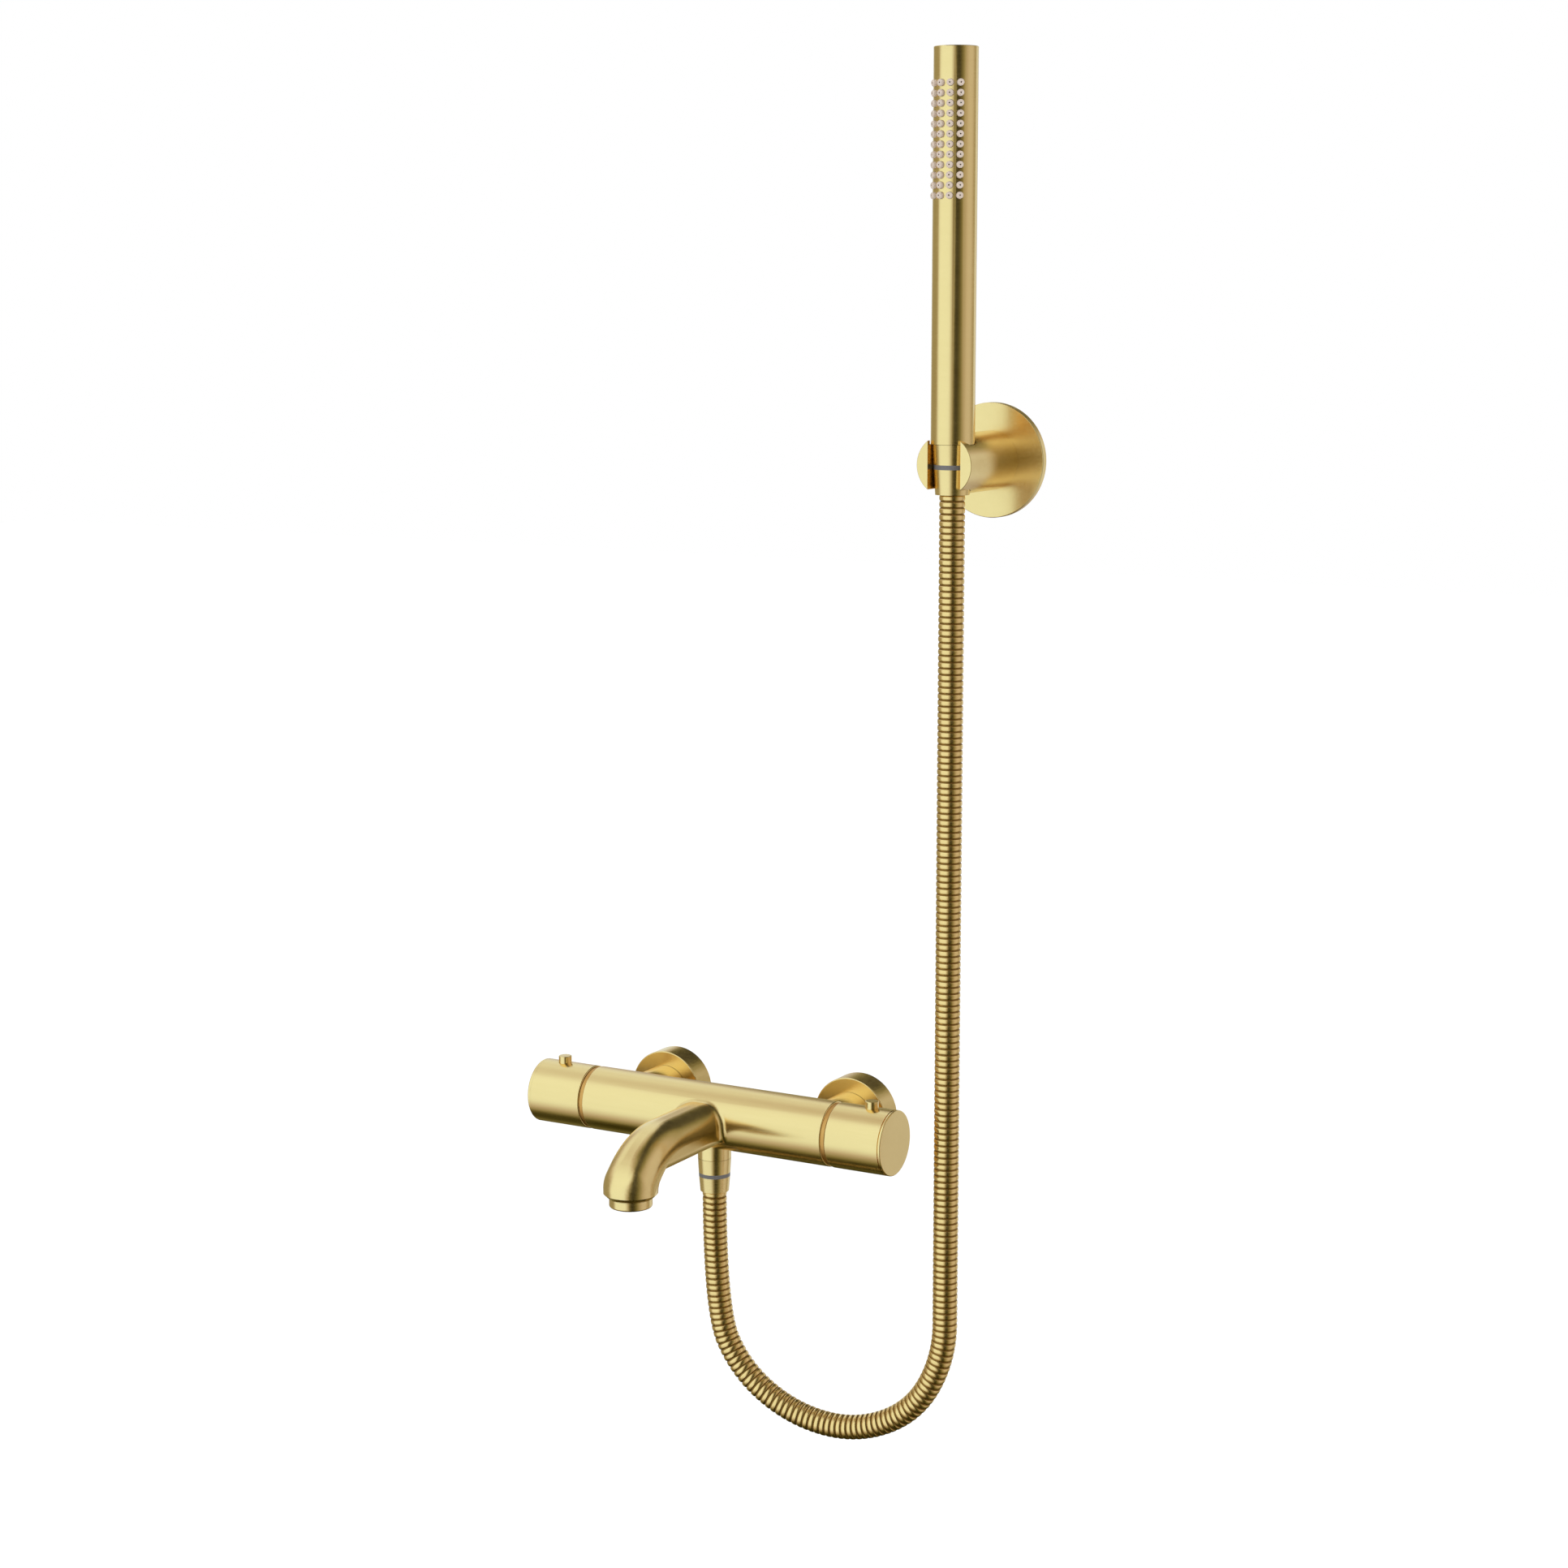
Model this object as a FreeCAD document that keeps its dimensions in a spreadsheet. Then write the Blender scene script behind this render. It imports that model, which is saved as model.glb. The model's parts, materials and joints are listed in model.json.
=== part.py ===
"""Wall mounted thermostatic bath faucet with spout, hose, hand shower and wall holder.

Frame: millimetres, +X right, +Y into the wall, +Z up. The wall is the plane Y = 0, and the
origin is on it, midway between the two water inlets.
"""
import FreeCAD, Part
import math
import os
import re

import Sketcher

V = FreeCAD.Vector
NUDGE = 0.01

# Driving dimensions in millimetres and degrees.
SIZES = {
    # where things are
    "inlet_half": 75.0, "bar_out": 75.0, "bar_up": 4.9, "bar_radius": 22.2, "body_half": 94.8,
    "bar_half": 140.3, "button_at": 122.7,
    # cartridge bores and waterways in the body
    "bore_radius": 15.0, "bore_floor": 30.0, "mixed_radius": 2.8, "hot_radius": 2.2,
    "hot_offset": 12.6, "outlet_offset": 5.9, "outlet_radius": 1.9, "duct_radius": 5.5,
    "port_radius": 6.0, "port_end": 57.8, "boss_radius": 17.2, "boss_start": 45.9,
    "tail_bore": 9.9,
    # spout
    "spout_half_width": 18.2, "spout_reach": 183.0, "spout_top": 18.5, "spout_under": -9.0,
    "crown_radius": 70.0, "crown_out": 141.5, "crown_edge": 15.5, "spout_edge": 6.0,
    "flare_radius": 23.7, "flare_top": -4.0, "spout_lip": -21.4,
    "spout_chamfer": 2.6, "neck_radius": 14.4, "neck_end": -24.6, "aerator_bore": 12.2,
    "aerator_bore_top": -14.0, "spout_duct": 5.0, "spout_duct_up": 3.0, "spout_duct_end": 172.0,
    "spout_drop": 176.0, "root_fillet": 4.5,
    # hose outlet under the body
    "outlet_boss_radius": 11.55, "outlet_joint": -24.6, "nipple_bore": 10.5,
    "nipple_bore_top": -18.0, "nipple_radius": 10.4, "nipple_end": -31.0, "nipple_hole": 4.5,
    "hose_nut_end": -35.0, "hose_nut_small": 10.95, "band_end": -37.7, "band_small": 10.8,
    "ferrule_end": -48.2, "ferrule_small": 9.9, "hose_tail_radius": 7.0,
    # wall unions, covers, nuts and inlet tails; distances out from the wall
    "shank_length": 18.0, "shank_radius": 10.48, "collar_radius": 13.0, "collar_end": 4.0,
    "union_radius": 13.2, "union_end": 30.0, "union_hole": 8.0, "cover_radius": 27.8,
    "cover_depth": 17.5, "cover_wall": 1.5, "cover_hole": 13.35, "nut_radius": 17.7,
    "nut_start": 17.8, "nut_end": 45.6, "nut_thread": 13.35, "nut_shoulder": 37.5,
    "washer_start": 30.2, "washer_end": 32.3, "washer_radius": 12.3, "tail_start": 32.5,
    "tail_flange": 12.4, "tail_flange_end": 37.3, "tail_radius": 9.8, "tail_hole": 7.5,
    # check valves inside the inlet tails
    "check_radius": 7.4, "check_inner": 5.8, "check_start": 34.0, "check_seat": 36.0,
    "check_seat_hole": 3.8, "check_web": 52.0, "check_end": 54.0, "check_guide": 1.6,
    "check_flow_hole": 1.2, "check_flow_ring": 3.9, "poppet_radius": 5.0, "poppet_start": 36.1,
    "poppet_face": 38.0, "poppet_stem": 1.55, "poppet_stem_end": 54.4, "check_coil": 3.3,
    "check_wire": 0.5, "check_turns": 3.0,
    # cartridges; distances from the middle of the body
    "nose_start": 30.3, "nose_radius": 9.9, "nose_end": 36.0, "waist_radius": 12.8,
    "land_radius": 14.6, "mid_land_start": 50.0, "mid_land_end": 54.0, "front_land": 80.0,
    "sleeve_end": 86.0, "sleeve_inner": 11.0, "sleeve_front": 78.0, "spindle_hole": 5.0,
    "spindle_radius": 4.95, "spindle_end": 126.0, "retainer_radius": 14.9,
    "retainer_hole": 9.0, "retainer_end": 95.0, "sleeve_port": 2.5, "hot_port_at": 43.0,
    "cold_port_at": 62.0, "sleeve_floor": 33.0, "sleeve_outlet": 5.2,
    "spindle_flange": 8.0, "spindle_flange_start": 74.0, "spindle_flange_end": 77.6,
    "driver_start": 69.0, "driver_radius": 4.0, "driver_hole": 2.4, "driver_hole_end": 75.0,
    "spool_start": 46.0, "spool_end": 58.0, "spool_radius": 10.95, "spool_hub": 5.6,
    "spool_rim": 9.4, "spool_web_start": 50.0, "spool_web_end": 54.0, "wax_radius": 4.0,
    "wax_start": 38.0, "wax_end": 64.0, "wax_pin": 1.5, "wax_pin_end": 66.5,
    "return_coil": 7.6, "return_wire": 0.55, "return_turns": 3.0,
    # ceramic discs of the flow cartridge
    "disc_bore": 8.7, "disc_radius": 8.6, "disc_end": 33.3, "turn_disc_start": 33.35,
    "turn_disc_end": 36.35, "turn_disc_radius": 8.35, "disc_pocket": 1.6,
    "disc_pocket_width": 3.6, "disc_pocket_reach": 7.4, "carrier_end": 42.0,
    "disc_cavity_end": 44.0,
    # seals
    "seal_section": 0.9, "seal_ring_radius": 13.95, "seal_at": 83.0, "seal_groove": 1.0,
    # knobs
    "stop_flange": 21.3, "stop_flange_end": 97.5, "stop_collar": 17.9, "stop_collar_end": 105.0,
    "stop_hole": 15.3, "knob_start": 97.9, "knob_inner": 18.4, "knob_web_start": 128.0,
    "knob_web_end": 132.0, "knob_end": 138.0, "knob_hub": 7.5, "hub_start": 110.0,
    "hub_hole": 5.05, "hub_hole_end": 126.4, "screw_hole": 2.2, "cap_bore": 17.0,
    "cap_start": 138.7, "cap_spigot": 16.9, "cap_spigot_inner": 14.5, "cap_spigot_start": 133.5,
    "cap_neck": 20.6, "knob_edge": 0.5, "joint_edge": 0.8, "cap_edge": 0.6, "screw_head": 4.0,
    "screw_head_end": 135.0, "screw_start": 117.0, "screw_radius": 2.0, "tap_hole": 2.05,
    # stop buttons on the knobs; heights from the bar's axis
    "button_radius": 4.55, "button_hole": 4.65, "button_top": 26.9, "button_edge": 0.5,
    "button_flange": 5.1, "button_flange_low": 15.6, "button_flange_top": 17.2,
    "button_coil": 3.5, "button_wire": 0.5, "button_turns": 3.0, "button_seat": 6.9,
    # aerator
    "aerator_ring_start": -24.75, "aerator_end": -30.8, "aerator_thread": 12.1,
    "aerator_top": -16.0, "aerator_inner": 10.6, "aerator_lip": 9.2, "aerator_lip_top": -29.6,
    "aerator_edge": 1.4, "insert_radius": 10.5, "insert_bottom": -29.5, "insert_top": -17.0,
    "insert_floor": -27.5, "insert_inner": 9.3, "insert_hole": 0.75, "insert_pitch": 2.5, "gasket_top": -14.1,
    "gasket_inner": 9.5,
    # holder on the wall
    "holder_right": 171.8, "holder_up": 456.2, "plate_radius": 37.8, "plate_depth": 4.8,
    "plate_skin": 1.4, "plate_recess": 30.0, "arm_radius": 19.5, "arm_end": 74.0,
    "spigot_radius": 9.9, "spigot_end": 15.0, "spigot_hole": 6.0, "arm_socket": 10.0,
    "arm_socket_end": 16.0, "bracket_radius": 28.0, "bracket_thick": 3.0,
    "wall_screw_offset": 19.0, "wall_screw_radius": 1.9, "wall_screw_hole": 2.3,
    "wall_screw_head": 3.8, "wall_screw_length": 35.0, "head_depth": 2.0, "plug_radius": 4.0,
    "plug_length": 32.0, "plug_hole": 1.95, "grub_radius": 2.0, "grub_at": 10.5,
    "grub_length": 8.0, "grub_hex": 1.0, "shower_out": 61.5, "slot_half": 11.7,
    "seat_gap": 0.35, "counterbore": 15.0, "arm_edge": 0.4,
    # conical hose end in the holder
    "cone_top": 469.1, "cone_large": 12.95, "cone_band_top": 456.2, "cone_band_low": 453.2,
    "cone_low": 437.0, "cone_small": 11.1, "cone_thread": 10.55, "cone_thread_end": 459.0,
    "cone_hole": 6.0,
    # hand shower
    "stick_low": 469.4, "stick_top": 717.8, "stick_radius": 14.2, "stick_inner": 13.2,
    "stick_end_wall": 1.8, "stick_edge": 0.5, "plug_end": 484.0, "plug_outer": 13.1,
    "connector_low": 460.0, "connector_radius": 10.2, "connector_hole": 5.0,
    "core_low": 486.0, "core_top": 712.0, "core_radius": 12.2, "core_inner": 9.5,
    "core_slot_half": 8.0, "core_slot_low": 618.0, "core_slot_top": 702.0,
    "strip_inner": 12.4, "strip_outer": 13.1, "strip_low": 620.0, "strip_top": 700.0,
    "nozzle_low": 625.6, "nozzle_pitch": 6.307, "nozzle_radius": 2.15, "nozzle_tip": 1.5,
    "nozzle_out": 16.6, "nozzle_hole": 2.3, "nozzle_bore": 0.5, "nozzle_step": 25.2,
    # hose
    "hose_radius": 8.4,
}
NOZZLE_ROWS = 12
NOZZLE_COLUMNS = 4

# The hose's route in its own upright plane: distance right of the body's middle, height.
HOSE_ROUTE = [(0.0, -48.2), (0.0, -134.0), (20.0, -175.5), (59.5, -201.5), (107.0, -206.5),
              (150.0, -185.0), (171.8, -143.0), (171.8, 437.0)]
ARC_SHARE = 0.45

doc = FreeCAD.newDocument("bath_faucet")
sheet = doc.addObject("Spreadsheet::Sheet", "Sizes")
for row, (alias, number) in enumerate(SIZES.items(), start=1):
    sheet.set("A%d" % row, alias)
    sheet.set("B%d" % row, str(number))
    sheet.setAlias("B%d" % row, alias)
doc.recompute()

SUB_PARTS = []


def formula(text):
    """The same formula with each dimension's name pointing at its cell of the sheet."""
    return re.sub(r"[a-z][a-z_]+", lambda word: "Sizes." + word.group(0), str(text))


def value(text):
    """A formula's value now."""
    return float(sheet.evalExpression(formula(text)))


def finish(item, label):
    """Name an object as one of the sub-parts."""
    item.Label = label
    SUB_PARTS.append(item)
    return item


def bind(item, field, text):
    item.setExpression(field, formula(text))


def place(item, x="0", y="0", z="0", towards=(0, 0, 1)):
    """Put an object's local Z along a direction, with its local origin at bound coordinates."""
    turn = FreeCAD.Rotation(V(0, 0, 1), V(*towards))
    item.Placement = FreeCAD.Placement(V(value(x), value(y), value(z)), turn)
    for axis, text in (("x", x), ("y", y), ("z", z)):
        bind(item, "Placement.Base." + axis, text)
    return item


def on_bar(item, side):
    """Local Z runs along the bar, outwards: side is 1 for the right end, -1 for the left."""
    return place(item, "0", "-bar_out", "bar_up", (side, 0, 0))


def on_inlet(item, side):
    """Local Z runs out from the wall at one of the two inlets."""
    return place(item, "inlet_half * %d" % side, "0", "0", (0, -1, 0))


def origin_plane(body, role):
    return next(item for item in body.Origin.OriginFeatures if item.Role == role)


def closed_sketch(body, name, role, points):
    """A closed outline of straight lines; both coordinates of each point are formulas."""
    sketch = body.newObject("Sketcher::SketchObject", name)
    sketch.AttachmentSupport = [(origin_plane(body, role), "")]
    sketch.MapMode = "FlatFace"
    corners = [V(value(across), value(along), 0) for across, along in points]
    count = len(corners)
    for index in range(count):
        sketch.addGeometry(Part.LineSegment(corners[index], corners[(index + 1) % count]), False)
    for index in range(count):
        following = (index + 1) % count
        sketch.addConstraint(Sketcher.Constraint("Coincident", index, 2, following, 1))
    for index, (corner, (across, along)) in enumerate(zip(corners, points)):
        for kind, axis, distance, text in (("DistanceX", -2, corner.x, across),
                                           ("DistanceY", -1, corner.y, along)):
            if abs(distance) < 1e-9:
                sketch.addConstraint(Sketcher.Constraint("PointOnObject", index, 1, axis))
                continue
            number = sketch.addConstraint(
                Sketcher.Constraint(kind, -1, 1, index, 1, distance))
            sketch.setExpression("Constraints[%d]" % number, formula(text))
    return sketch


def turned(name, points, role="XZ_Plane"):
    """A turned piece: an outline of (radius, height) points spun about the local Z axis."""
    body = doc.addObject("PartDesign::Body", name)
    sketch = closed_sketch(body, name + "_outline", role, points)
    spin = body.newObject("PartDesign::Revolution", name + "_spin")
    spin.Profile = sketch
    spin.ReferenceAxis = (sketch, ["V_Axis"])
    spin.Angle = 360
    doc.recompute()
    return body


def ring(name, inner, outer, low, high):
    """A plain ring or, with inner 0, a plain disc."""
    return turned(name, [(inner, low), (outer, low), (outer, high), (inner, high)])


def round_rim(body, radius, rims):
    """Round the circular edges at the given (radius, height) places, in local coordinates."""
    doc.recompute()
    shape = body.Tip.Shape
    names = []
    for number, edge in enumerate(shape.Edges, start=1):
        if not isinstance(edge.Curve, Part.Circle):
            continue
        for rim_radius, height in rims:
            same_radius = abs(edge.Curve.Radius - value(rim_radius)) < NUDGE
            if same_radius and abs(edge.Curve.Center.z - value(height)) < NUDGE:
                names.append("Edge%d" % number)
    unrounded = body.Tip
    fillet = body.newObject("PartDesign::Fillet", body.Name + "_rounding%d" % len(body.Group))
    fillet.Base = (unrounded, names)
    bind(fillet, "Radius", radius)
    doc.recompute()
    return body


def cylinder(name, radius, height, x="0", y="0", z="0", towards=(0, 0, 1)):
    item = doc.addObject("Part::Cylinder", name)
    bind(item, "Radius", radius)
    bind(item, "Height", height)
    return place(item, x, y, z, towards)


def box(name, length, width, height, x, y, z):
    item = doc.addObject("Part::Box", name)
    for field, text in (("Length", length), ("Width", width), ("Height", height)):
        bind(item, field, text)
    return place(item, x, y, z)


def fuse(name, items):
    item = doc.addObject("Part::MultiFuse", name)
    item.Shapes = items
    item.Refine = True
    return item


def common(name, items):
    item = doc.addObject("Part::MultiCommon", name)
    item.Shapes = items
    item.Refine = True
    return item


def cut(name, base, tools):
    """Take one or more tools out of a base, and check that something was taken."""
    doc.recompute()
    item = doc.addObject("Part::Cut", name)
    item.Base = base
    item.Tool = tools[0] if len(tools) == 1 else fuse(name + "_tools", tools)
    item.Refine = True
    doc.recompute()
    if item.Shape.Volume > base.Shape.Volume - NUDGE:
        raise ValueError("nothing was cut from " + name)
    return item


def rounded(name, base, radius, wanted):
    """Round every edge that the wanted test accepts."""
    doc.recompute()
    item = doc.addObject("Part::Fillet", name)
    item.Base = base
    size = value(radius)
    edges = [number for number, edge in enumerate(base.Shape.Edges, start=1) if wanted(edge)]
    item.Edges = [(number, size, size) for number in edges]
    doc.recompute()
    return item


def samples(edge, count=7):
    """Points along an edge, ends left out."""
    first, last = edge.ParameterRange
    return [edge.valueAt(first + (last - first) * (step + 0.5) / count) for step in range(count)]


# ---------------------------------------------------------------- body and spout
def spout_solid():
    """The arm and its round end, under one crowned top, with soft edges."""
    prism = box("spout_prism", "spout_half_width * 2", "spout_reach", "spout_top - spout_lip",
                "-spout_half_width", "-spout_reach", "spout_lip")
    end = cylinder("spout_end", "spout_half_width", "spout_top - spout_lip", "0", "-spout_reach",
                   "spout_lip")
    flat = box("crown_flat", "spout_half_width * 4", "crown_out", "crown_radius",
               "-spout_half_width * 2", "-crown_out", "spout_top - crown_radius")
    drum = cylinder("crown_drum", "crown_radius", "spout_half_width * 4", "-spout_half_width * 2",
                    "-crown_out", "spout_top - crown_radius", (1, 0, 0))
    crowned = common("spout_crowned", [fuse("spout_stadium", [prism, end]),
                                       fuse("crown", [flat, drum])])
    top, drum_radius, drum_out = value("spout_top"), value("crown_radius"), value("crown_out")
    half, reach, under = value("spout_half_width"), value("spout_reach"), value("spout_under")

    def crown_edge(edge):
        for point in samples(edge):
            on_drum = math.hypot(point.y + drum_out, point.z - top + drum_radius) - drum_radius
            above = point.z - top if point.y > -drum_out else on_drum
            beside = math.hypot(point.x, min(point.y + reach, 0)) - half
            if abs(above) > NUDGE or abs(beside) > NUDGE:
                return False
        return True

    def low_edge(edge):
        return all(abs(abs(point.x) - half) < NUDGE and abs(point.z - under) < NUDGE
                   for point in samples(edge))

    arm = box("spout_arm", "spout_half_width * 2", "spout_reach", "spout_top - spout_under",
              "-spout_half_width", "-spout_reach", "spout_under")
    # Under the arm the end's back widens upwards in a hollow curve.
    drum_low = cylinder("flare_drum", "spout_half_width + flare_radius", "flare_top - spout_lip",
                        "0", "-spout_reach", "spout_lip")
    hollow = doc.addObject("Part::Torus", "flare_hollow")
    bind(hollow, "Radius1", "spout_half_width + flare_radius")
    bind(hollow, "Radius2", "flare_radius")
    place(hollow, "0", "-spout_reach", "spout_lip")
    flare = common("flare", [cut("flare_turned", drum_low, [hollow]),
                             box("flare_back", "spout_half_width * 2", "spout_half_width + 10",
                                 "flare_top - spout_lip", "-spout_half_width",
                                 "-spout_reach", "spout_lip")])
    stem = fuse("spout_stem", [rounded("arm_soft", arm, "spout_edge", low_edge), end, flare])
    soft = common("spout_soft", [rounded("crown_soft", crowned, "crown_edge", crown_edge), stem])
    front = box("spout_front", "spout_half_width * 4", "spout_reach", "crown_radius * 2",
                "-spout_half_width * 2", "-spout_reach - bar_out", "-crown_radius")
    return common("spout", [soft, front])


def mixer_body():
    bar = rounded("bar_soft", cylinder("bar", "bar_radius", "body_half * 2", "-body_half",
                                       "-bar_out", "bar_up", (1, 0, 0)), "joint_edge",
                  lambda edge: isinstance(edge.Curve, Part.Circle))
    lip = doc.addObject("Part::Cone", "spout_lip_cone")
    bind(lip, "Radius1", "spout_half_width - spout_chamfer")
    bind(lip, "Radius2", "spout_half_width")
    bind(lip, "Height", "spout_chamfer")
    place(lip, "0", "-spout_reach", "spout_lip - spout_chamfer")
    neck = cylinder("spout_neck", "neck_radius", "spout_lip - neck_end", "0", "-spout_reach",
                    "neck_end")
    outlet = cylinder("outlet_boss", "outlet_boss_radius", "bar_up - outlet_joint", "0",
                      "-bar_out", "outlet_joint")
    bosses = [cylinder("inlet_boss%d" % number, "boss_radius", "bar_out - boss_start",
                       "inlet_half * %d" % side, "-boss_start", "0", (0, -1, 0))
              for number, side in enumerate((-1, 1))]
    joined = fuse("body_joined", [bar, spout_solid()] + bosses)
    doc.recompute()
    half, bar_out, bar_up = value("spout_half_width"), value("bar_out"), value("bar_up")
    radius = value("bar_radius")

    def root_edge(edge):
        points = samples(edge)
        on_bar_skin = all(abs(math.hypot(p.y + bar_out, p.z - bar_up) - radius) < NUDGE
                          for p in points)
        return on_bar_skin and all(abs(p.x) < half + 1 and p.y < -bar_out for p in points)

    blended = rounded("body_blended", joined, "root_fillet", root_edge)
    if not blended.Shape.isValid() or blended.Shape.isNull():
        raise ValueError("the spout's root wasn't rounded")
    whole = fuse("body_whole", [blended, outlet, lip, neck])
    tools = []
    for number, side in enumerate((-1, 1)):
        name = "right" if side > 0 else "left"
        tools.append(cylinder("cartridge_bore_" + name, "bore_radius", "body_half",
                              "bore_floor * %d" % side, "-bar_out", "bar_up", (side, 0, 0)))
        tools.append(cylinder("tail_bore_" + name, "tail_bore", "port_end - boss_start + 1",
                              "inlet_half * %d" % side, "-boss_start + 1", "0", (0, -1, 0)))
        tools.append(cylinder("port_" + name, "port_radius", "bar_out - port_end",
                              "inlet_half * %d" % side, "-port_end + 1", "0", (0, -1, 0)))
    tools.append(cylinder("mixed_way", "mixed_radius", "bore_floor * 2 + 2", "-bore_floor - 1",
                          "-bar_out", "bar_up", (1, 0, 0)))
    tools.append(cylinder("hot_way", "hot_radius", "bore_floor * 2 + 2", "-bore_floor - 1",
                          "hot_offset - bar_out", "bar_up", (1, 0, 0)))
    tools.append(cylinder("spout_way", "outlet_radius", "bore_floor + 1", "-bore_floor - 1",
                          "-bar_out - outlet_offset", "bar_up", (1, 0, 0)))
    tools.append(cylinder("hose_way", "outlet_radius", "bore_floor + 1", "-bore_floor - 1",
                          "-bar_out", "bar_up - outlet_offset", (1, 0, 0)))
    tools.append(cylinder("spout_run", "spout_duct", "spout_duct_end - bar_out - mixed_radius - 2",
                          "0", "-bar_out - mixed_radius - 2", "spout_duct_up", (0, -1, 0)))
    tools.append(cylinder("spout_fall", "spout_duct", "spout_duct_up - aerator_bore_top + 1", "0",
                          "-spout_drop", "aerator_bore_top - 1"))
    tools.append(cylinder("hose_duct", "duct_radius", "bar_up - mixed_radius - 2 - outlet_joint + 1",
                          "0", "-bar_out", "outlet_joint - 1"))
    tools.append(cylinder("nipple_socket", "nipple_bore", "nipple_bore_top - outlet_joint + 1",
                          "0", "-bar_out", "outlet_joint - 1"))
    tools.append(cylinder("aerator_socket", "aerator_bore", "aerator_bore_top - neck_end + 1",
                          "0", "-spout_reach", "neck_end - 1"))
    finish(cut("mixer_body", whole, tools), "mixer_body")


def hose_outlet():
    nipple = ring("outlet_nipple", "nipple_hole", "nipple_radius", "nipple_end",
                  "nipple_bore_top")
    nut = turned("hose_nut", [
        ("hose_tail_radius", "hose_nut_end"), ("hose_nut_small", "hose_nut_end"),
        ("outlet_boss_radius", "outlet_joint - 0.2"), ("nipple_bore", "outlet_joint - 0.2"),
        ("nipple_bore", "nipple_end - 2"), ("hose_tail_radius", "nipple_end - 2")])
    washer = ring("hose_washer", "nipple_hole + 1.5", "nipple_radius", "nipple_end - 1.9",
                  "nipple_end - 0.05")
    band = turned("hose_nut_band", [
        ("hose_tail_radius", "band_end"), ("band_small", "band_end"),
        ("hose_nut_small", "hose_nut_end"), ("hose_tail_radius", "hose_nut_end")])
    ferrule = turned("hose_ferrule", [
        ("hose_tail_radius", "ferrule_end"), ("ferrule_small", "ferrule_end"),
        ("band_small", "band_end"), ("hose_tail_radius", "band_end")])
    for item, label in ((nipple, "hose_outlet_nipple"), (nut, "hose_nut"), (washer, "hose_washer"),
                        (band, "hose_nut_band"), (ferrule, "hose_ferrule")):
        finish(place(item, "0", "-bar_out", "0"), label)


# ---------------------------------------------------------------- wall unions and check valves
def wall_side(side, label):
    union = turned("union_" + label, [
        ("union_hole", "-shank_length"), ("shank_radius", "-shank_length"),
        ("shank_radius", "0"), ("collar_radius", "0"), ("collar_radius", "collar_end"),
        ("union_radius - 1.2", "collar_end"), ("union_radius - 1.2", "collar_end + 3"),
        ("union_radius", "collar_end + 4"), ("union_radius", "union_end"),
        ("union_hole", "union_end")])
    cover = turned("cover_" + label, [
        ("cover_radius - cover_wall", "0"), ("cover_radius", "0"),
        ("cover_radius", "cover_depth"), ("cover_hole", "cover_depth"),
        ("cover_hole", "cover_depth - cover_wall"),
        ("cover_radius - cover_wall", "cover_depth - cover_wall")])
    round_rim(cover, "cover_wall * 0.5", [("cover_radius", "cover_depth")])
    nut = turned("nut_" + label, [
        ("nut_thread", "nut_start"), ("nut_radius", "nut_start"), ("nut_radius", "nut_end"),
        ("tail_radius + 0.2", "nut_end"), ("tail_radius + 0.2", "nut_shoulder"),
        ("nut_thread", "nut_shoulder")])
    round_rim(nut, "knob_edge", [("nut_radius", "nut_end")])
    for item, name in ((union, "wall_union_"), (cover, "wall_cover_"), (nut, "union_nut_")):
        finish(on_inlet(item, side), name + label)


def pair(name, make, put):
    """Two identical pieces, put on the left and the right, as a group of separate solids."""
    items = []
    for number, side in enumerate((-1, 1)):
        items.append(put(make("%s_%d" % (name, number)), side))
    group = doc.addObject("Part::Compound", name)
    group.Links = items
    return finish(group, name)


def union_washer(name):
    return ring(name, "union_hole", "washer_radius", "washer_start", "washer_end")


def inlet_tail(name):
    return turned(name, [
        ("tail_hole", "tail_start"), ("tail_flange", "tail_start"),
        ("tail_flange", "tail_flange_end"), ("tail_radius", "tail_flange_end"),
        ("tail_radius", "port_end - 0.2"), ("tail_hole", "port_end - 0.2")])


def check_housing(name):
    """A sleeve with a seat on the wall side and a drilled guide web on the other."""
    sleeve = turned(name + "_sleeve", [
        ("check_seat_hole", "check_start"), ("check_radius", "check_start"),
        ("check_radius", "check_end"), ("check_guide", "check_end"),
        ("check_guide", "check_web"), ("check_inner", "check_web"),
        ("check_inner", "check_seat"), ("check_seat_hole", "check_seat")])
    holes = []
    for turn in range(6):
        angle = math.radians(60 * turn)
        holes.append(cylinder("%s_hole%d" % (name, turn), "check_flow_hole",
                              "check_end - check_web + 2",
                              "check_flow_ring * %.6f" % math.cos(angle),
                              "check_flow_ring * %.6f" % math.sin(angle), "check_web - 1"))
    return cut(name, sleeve, holes)


def check_poppet(side, label):
    poppet = turned("poppet_" + label, [
        ("0", "poppet_start"), ("poppet_radius", "poppet_start"),
        ("poppet_radius", "poppet_face"), ("poppet_stem", "poppet_face"),
        ("poppet_stem", "poppet_stem_end"), ("0", "poppet_stem_end")])
    finish(on_inlet(poppet, side), "check_poppet_" + label)


def coil_shape(radius, wire, low, high, turns):
    """A helical spring about local Z, its round wire inside the two heights."""
    rise = high - low - 2 * wire - 2 * NUDGE
    path = Part.makeHelix(rise / turns, rise, radius)
    path.translate(V(0, 0, low + wire + NUDGE))
    start = path.Edges[0].valueAt(path.Edges[0].FirstParameter)
    heading = path.Edges[0].tangentAt(path.Edges[0].FirstParameter)
    section = Part.Wire(Part.makeCircle(wire, start, heading))
    return Part.Wire(path.Edges).makePipeShell([section], True, True)


def coil(label, radius, wire, low, high, turns):
    item = doc.addObject("Part::Feature", label)
    item.Shape = coil_shape(value(radius), value(wire), value(low), value(high), value(turns))
    return finish(item, label)


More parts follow.
